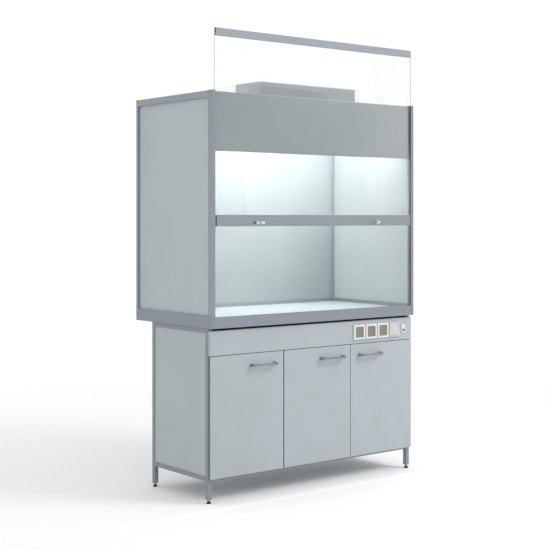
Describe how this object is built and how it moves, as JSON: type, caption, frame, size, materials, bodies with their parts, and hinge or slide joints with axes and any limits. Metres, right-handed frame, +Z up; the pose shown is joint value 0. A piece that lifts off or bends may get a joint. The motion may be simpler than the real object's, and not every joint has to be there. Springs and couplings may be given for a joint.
{
  "type": "fume hood",
  "caption": "Ducted laboratory fume hood with a counterweighted vertical glass sash, lit white chamber, roof exhaust box, and a base cabinet with bow-handled doors and lidded sockets.",
  "frame": {"origin": "on the floor under the middle of the whole outline's width and depth", "axes": "+Z up; the sash and doors face -Y; +X to the right when facing the front"},
  "size_m": [1.5, 0.7872, 2.52],
  "materials": {
    "profile": "satin anodised",
    "sheet": "satin grey powder coat",
    "lining": "light satin coating",
    "lining_board": "light satin laminate",
    "trim": "satin anodised",
    "stone_top": "light glazed slab",
    "tube": "satin grey powder coat",
    "board": "grey laminate",
    "front_board": "grey laminate",
    "clear_glass": "clear toughened",
    "sash_profile": "satin anodised",
    "opal": "opal",
    "steel": "zinc plated",
    "cable_steel": "stranded",
    "pulley_plastic": "moulded",
    "catch_metal": "polished",
    "handle_metal": "satin",
    "device_white": "moulded",
    "rocker_white": "moulded",
    "smoky_clear": "tinted clear plastic",
    "green_plastic": "moulded",
    "foot_black": "moulded"
  },
  "bodies": {
    "frame": {"apron_panel": "front_board", "back_lining": "lining_board", "base_front_rail": "profile", "base_rear_rail": "profile", "base_side_rails": "profile", "cabinet_back_panel": "board", "cabinet_floor": "board", "cabinet_partition": "board", "cabinet_shelves": "board", "cabinet_side_panels": "board", "cross_rails": "tube", "exhaust_box": "sheet", "front_posts": "profile", "header_panel": "sheet", "hinge_arms": "steel", "inner_side_linings": "lining", "interior_trim": "trim", "lamp_diffuser": "opal", "lamp_housing": "lining", "outer_back_panel": "sheet", "outer_side_panels": "sheet", "pulley_brackets": "steel", "rear_posts": "profile", "roof_panel": "lining", "side_frames": "tube", "socket_frames": "device_white", "switch_plates": "device_white", "top_cable_runs": "cable_steel", "top_rails": "profile", "worktop": "stone_top"},
    "sash": {"sash_glass": "clear_glass", "sash_bottom_bar": "sash_profile", "sash_top_rail": "sash_profile", "sash_lift_lugs": "steel", "catch_barrels": "catch_metal", "front_cable_runs": "cable_steel"},
    "catch_left": {"catch_bolt_left": "catch_metal"},
    "catch_right": {"catch_bolt_right": "catch_metal"},
    "counterweight_left": {"counterweight_left": "steel", "rear_cable_left": "cable_steel"},
    "counterweight_right": {"counterweight_right": "steel", "rear_cable_right": "cable_steel"},
    "front_pulleys": {"front_pulley_shaft": "steel"},
    "rear_pulley_left": {"rear_pulley_left": "pulley_plastic"},
    "rear_pulley_right": {"rear_pulley_right": "pulley_plastic"},
    "door_left": {"door_left": "front_board", "handle_left": "handle_metal"},
    "door_middle": {"door_middle": "front_board", "handle_middle": "handle_metal"},
    "door_right": {"door_right": "front_board", "handle_right": "handle_metal"},
    "lid_left": {"socket_lid_left": "smoky_clear"},
    "lid_middle": {"socket_lid_middle": "smoky_clear"},
    "lid_right": {"socket_lid_right": "smoky_clear"},
    "rocker": {"rocker": "rocker_white"},
    "push_button": {"push_button": "green_plastic"},
    "foot_front_left": {"foot_front_left": "foot_black"},
    "foot_front_right": {"foot_front_right": "foot_black"},
    "foot_rear_left": {"foot_rear_left": "foot_black"},
    "foot_rear_right": {"foot_rear_right": "foot_black"}
  },
  "joints": [
    {"name": "sash_slide", "type": "slide", "parent": "frame", "child": "sash", "axis": [0, 0, 1], "range_m": [-0.481, 0.33], "deforming": ["front_cable_runs"]},
    {"name": "catch_left_slide", "type": "slide", "parent": "sash", "child": "catch_left", "axis": [-1, 0, 0], "range_m": [0, 0.016]},
    {"name": "catch_right_slide", "type": "slide", "parent": "sash", "child": "catch_right", "axis": [1, 0, 0], "range_m": [0, 0.016]},
    {"name": "counterweight_left_slide", "type": "slide", "parent": "frame", "child": "counterweight_left", "axis": [0, 0, 1], "range_m": [-0.33, 0.481], "deforming": ["rear_cable_left"]},
    {"name": "counterweight_right_slide", "type": "slide", "parent": "frame", "child": "counterweight_right", "axis": [0, 0, 1], "range_m": [-0.33, 0.481], "deforming": ["rear_cable_right"]},
    {"name": "front_pulleys_turn", "type": "hinge", "parent": "frame", "child": "front_pulleys", "pos_m": [0, -0.31945, 2.116], "axis": [1, 0, 0], "range_deg": [-631, 919]},
    {"name": "rear_pulley_left_turn", "type": "hinge", "parent": "frame", "child": "rear_pulley_left", "pos_m": [-0.7312, -0.01005, 2.116], "axis": [1, 0, 0], "range_deg": [-631, 919]},
    {"name": "rear_pulley_right_turn", "type": "hinge", "parent": "frame", "child": "rear_pulley_right", "pos_m": [0.7312, -0.01005, 2.116], "axis": [1, 0, 0], "range_deg": [-631, 919]},
    {"name": "door_left_hinge", "type": "hinge", "parent": "frame", "child": "door_left", "pos_m": [-0.741, -0.33445, 0.455], "axis": [0, 0, -1], "range_deg": [0, 105]},
    {"name": "door_middle_hinge", "type": "hinge", "parent": "frame", "child": "door_middle", "pos_m": [-0.23897, -0.33445, 0.455], "axis": [0, 0, -1], "range_deg": [0, 105]},
    {"name": "door_right_hinge", "type": "hinge", "parent": "frame", "child": "door_right", "pos_m": [0.741, -0.33445, 0.455], "axis": [0, 0, 1], "range_deg": [0, 105]},
    {"name": "lid_left_hinge", "type": "hinge", "parent": "frame", "child": "lid_left", "pos_m": [0.316, -0.34445, 0.8785], "axis": [-1, 0, 0], "range_deg": [0, 100], "stiffness_Nm_per_rad": 0.01, "springref_deg": -20.05},
    {"name": "lid_middle_hinge", "type": "hinge", "parent": "frame", "child": "lid_middle", "pos_m": [0.41, -0.34445, 0.8785], "axis": [-1, 0, 0], "range_deg": [0, 100], "stiffness_Nm_per_rad": 0.01, "springref_deg": -20.05},
    {"name": "lid_right_hinge", "type": "hinge", "parent": "frame", "child": "lid_right", "pos_m": [0.504, -0.34445, 0.8785], "axis": [-1, 0, 0], "range_deg": [0, 100], "stiffness_Nm_per_rad": 0.01, "springref_deg": -20.05},
    {"name": "rocker_tilt", "type": "hinge", "parent": "frame", "child": "rocker", "pos_m": [0.598, -0.34045, 0.849], "axis": [1, 0, 0], "range_deg": [0, 7]},
    {"name": "push_button_press", "type": "slide", "parent": "frame", "child": "push_button", "axis": [0, 1, 0], "range_m": [0, 0.0025], "stiffness_N_per_m": 400, "springref_m": -0.0025},
    {"name": "foot_front_left_screw", "type": "slide", "parent": "frame", "child": "foot_front_left", "axis": [0, 0, -1], "range_m": [0, 0.02]},
    {"name": "foot_front_right_screw", "type": "slide", "parent": "frame", "child": "foot_front_right", "axis": [0, 0, -1], "range_m": [0, 0.02]},
    {"name": "foot_rear_left_screw", "type": "slide", "parent": "frame", "child": "foot_rear_left", "axis": [0, 0, -1], "range_m": [0, 0.02]},
    {"name": "foot_rear_right_screw", "type": "slide", "parent": "frame", "child": "foot_rear_right", "axis": [0, 0, -1], "range_m": [0, 0.02]}
  ],
  "couplings": [
    {"joint": "counterweight_left_slide", "follows": "sash_slide", "ratio": -1},
    {"joint": "counterweight_right_slide", "follows": "sash_slide", "ratio": -1},
    {"joint": "front_pulleys_turn", "follows": "sash_slide", "rad_per_m": -33.333},
    {"joint": "rear_pulley_left_turn", "follows": "sash_slide", "rad_per_m": -33.333},
    {"joint": "rear_pulley_right_turn", "follows": "sash_slide", "rad_per_m": -33.333}
  ]
}
